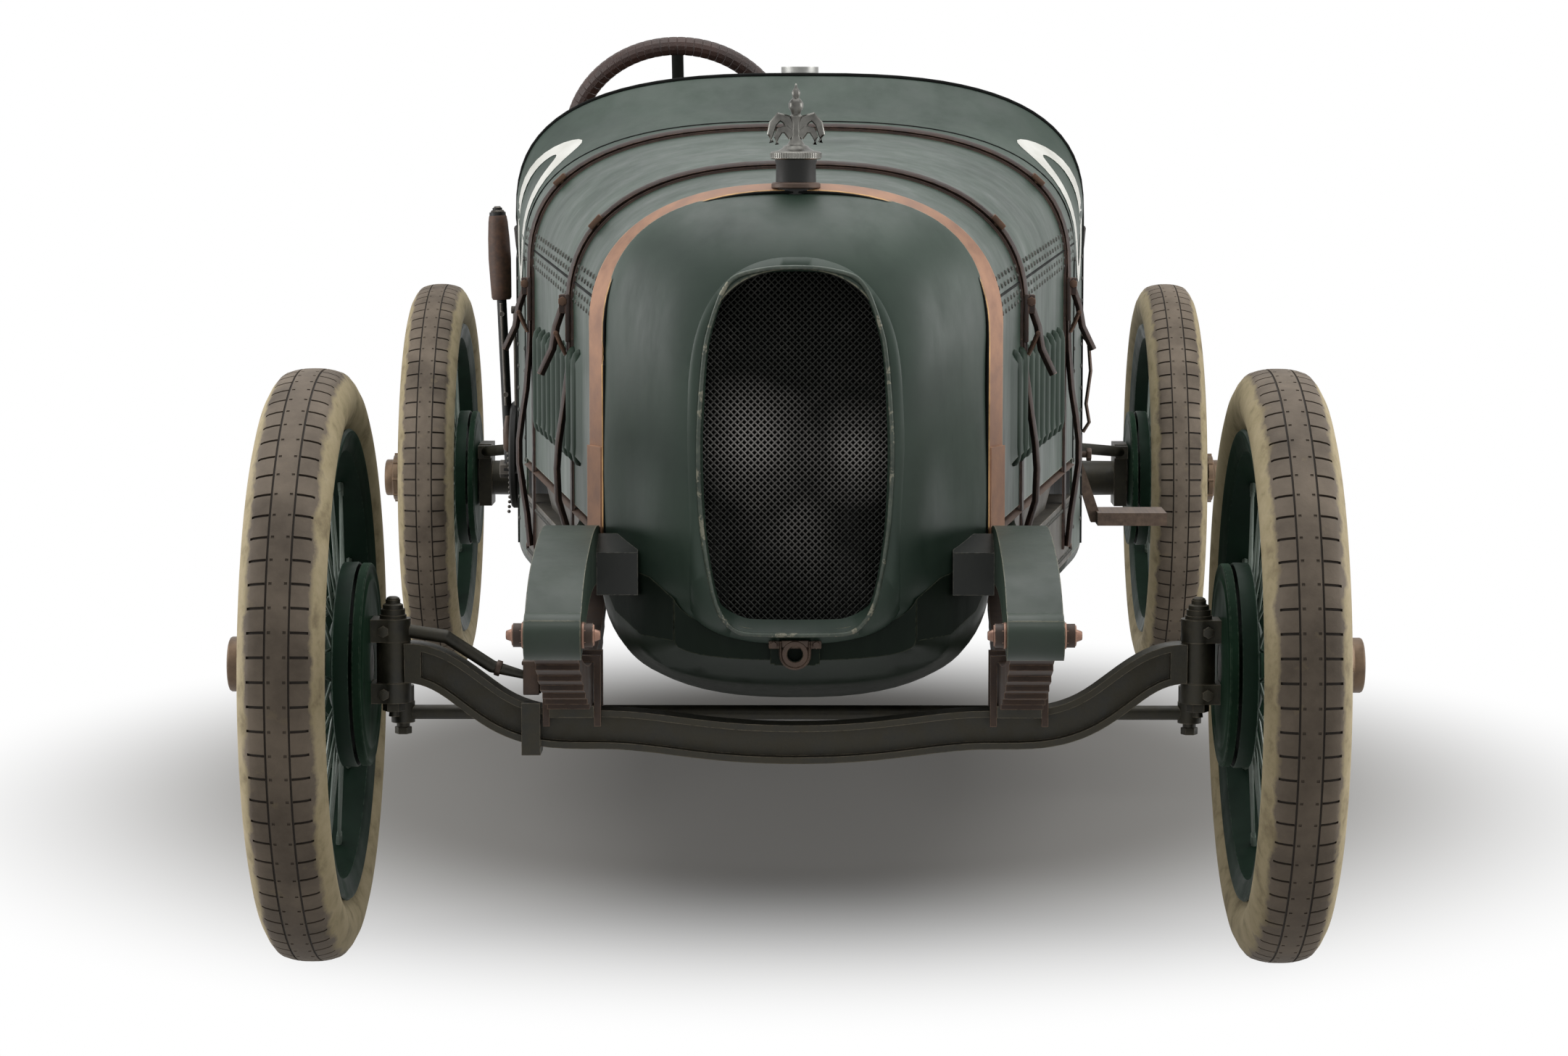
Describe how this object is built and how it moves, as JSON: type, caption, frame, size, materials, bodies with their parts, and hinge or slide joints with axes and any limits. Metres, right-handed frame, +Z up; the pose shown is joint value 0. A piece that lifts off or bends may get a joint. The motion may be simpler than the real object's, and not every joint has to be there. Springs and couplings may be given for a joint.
{
  "type": "brass-era racing car",
  "caption": "Open racing car of the brass era with a rounded mesh-fronted nose, strapped bonnet, flared cowl, bucket seats, pointed tail and wire wheels.",
  "frame": {"origin": "on the ground under the middle of the car's length and width", "axes": "+Z up, -Y the way the car drives, +X towards the car's left (passenger's) side"},
  "size_m": [1.898, 4.312, 1.4074],
  "materials": {
    "body_green": "satin dark green paint, worn",
    "frame_green": "satin dark green paint, scuffed",
    "bracket_grey": "dark grey paint, rubbed edges",
    "axle_dark": "dark oily forging",
    "bare_steel": "dull bare steel",
    "nickel": "worn nickel plating",
    "mesh": "black wire",
    "copper": "dull copper",
    "iron": "rough casting",
    "aluminium": "dull sheet",
    "strap_brown": "brown enamel, rubbed",
    "skirt_brown": "grey-brown, weathered",
    "wheel_green": "satin dark green paint",
    "tyre_cream": "cream sidewalls, grey-brown tread",
    "floor_wood": "oiled boards",
    "seat_metal": "satin dark green paint",
    "seat_leather": "worn dark brown leather",
    "wheel_rim": "bound rim, dark"
  },
  "bodies": {
    "chassis": {"side_rails": "frame_green", "cross_members": "frame_green", "nose_shell": "body_green", "nose_brackets": "bracket_grey", "radiator_core": "iron", "grille_mesh": "mesh", "copper_band": "copper", "filler_cap": "nickel", "crank_socket": "bare_steel", "belly_pan": "skirt_brown", "side_skirts": "skirt_brown", "engine_block": "iron", "bulkhead": "aluminium", "cowl": "body_green", "cockpit_sides": "body_green", "cockpit_floor": "floor_wood", "tail": "body_green", "seat_shells": "seat_metal", "seat_cushions": "seat_leather", "steering_column": "bare_steel", "brake_lever": "bare_steel", "foot_step": "bracket_grey", "front_axle": "axle_dark", "front_springs": "axle_dark", "scuttle_tank": "aluminium", "bonnet_top": "body_green", "bonnet_sides": "body_green", "bonnet_straps": "strap_brown", "strap_tails": "strap_brown", "strap_toggles": "bare_steel", "rear_axle": "axle_dark", "rear_springs": "axle_dark", "radius_rods": "axle_dark"},
    "knuckle_right": {"knuckle_right": "axle_dark"},
    "knuckle_left": {"knuckle_left": "axle_dark"},
    "tie_rod": {"tie_rod": "axle_dark"},
    "drag_link": {"drag_link": "axle_dark"},
    "drop_arm": {"drop_arm": "axle_dark"},
    "steering_wheel": {"steering_wheel": "wheel_rim"},
    "wheel_front_left": {"wheel_front_left": "wheel_green", "tyre_front_left": "tyre_cream"},
    "wheel_front_right": {"wheel_front_right": "wheel_green", "tyre_front_right": "tyre_cream"},
    "wheel_rear_left": {"wheel_rear_left": "wheel_green", "tyre_rear_left": "tyre_cream"},
    "wheel_rear_right": {"wheel_rear_right": "wheel_green", "tyre_rear_right": "tyre_cream"}
  },
  "joints": [
    {"name": "steer_right", "type": "hinge", "parent": "chassis", "child": "knuckle_right", "pos_m": [-0.598, -1.694, 0.445], "axis": [0, 0, 1], "range_deg": [-28, 28]},
    {"name": "steer_left", "type": "hinge", "parent": "chassis", "child": "knuckle_left", "pos_m": [0.598, -1.694, 0.445], "axis": [0, 0, 1], "range_deg": [-28, 28]},
    {"name": "tie_rod_pivot", "type": "hinge", "parent": "knuckle_right", "child": "tie_rod", "pos_m": [-0.598, -1.566, 0.349], "axis": [0, 0, 1], "range_deg": [-28, 28]},
    {"name": "drag_link_pivot", "type": "hinge", "parent": "knuckle_right", "child": "drag_link", "pos_m": [-0.392, -1.694, 0.421], "axis": [0, 0, 1], "range_deg": [-28, 28]},
    {"name": "drop_arm_pivot", "type": "hinge", "parent": "chassis", "child": "drop_arm", "pos_m": [-0.34, -0.934, 0.592], "axis": [1, 0, 0], "range_deg": [-33.6, 33.6]},
    {"name": "steering_wheel_turn", "type": "hinge", "parent": "chassis", "child": "steering_wheel", "pos_m": [-0.237, 0.206, 1.205], "axis": [0, 0.891, 0.454], "range_deg": [-280, 280]},
    {"name": "spin_front_left", "type": "hinge", "parent": "knuckle_left", "child": "wheel_front_left", "pos_m": [0.7125, -1.694, 0.44], "axis": [1, 0, 0], "continuous": true},
    {"name": "spin_front_right", "type": "hinge", "parent": "knuckle_right", "child": "wheel_front_right", "pos_m": [-0.7125, -1.694, 0.44], "axis": [1, 0, 0], "continuous": true},
    {"name": "spin_rear_left", "type": "hinge", "parent": "chassis", "child": "wheel_rear_left", "pos_m": [0.82, 1.406, 0.44], "axis": [1, 0, 0], "continuous": true},
    {"name": "spin_rear_right", "type": "hinge", "parent": "chassis", "child": "wheel_rear_right", "pos_m": [-0.82, 1.406, 0.44], "axis": [1, 0, 0], "continuous": true}
  ],
  "couplings": [
    {"joint": "steer_left", "follows": "steer_right", "ratio": 1},
    {"joint": "tie_rod_pivot", "follows": "steer_right", "ratio": -1},
    {"joint": "drag_link_pivot", "follows": "steer_right", "ratio": -1},
    {"joint": "drop_arm_pivot", "follows": "steer_right", "ratio": 1.2},
    {"joint": "steering_wheel_turn", "follows": "steer_right", "ratio": 10}
  ]
}
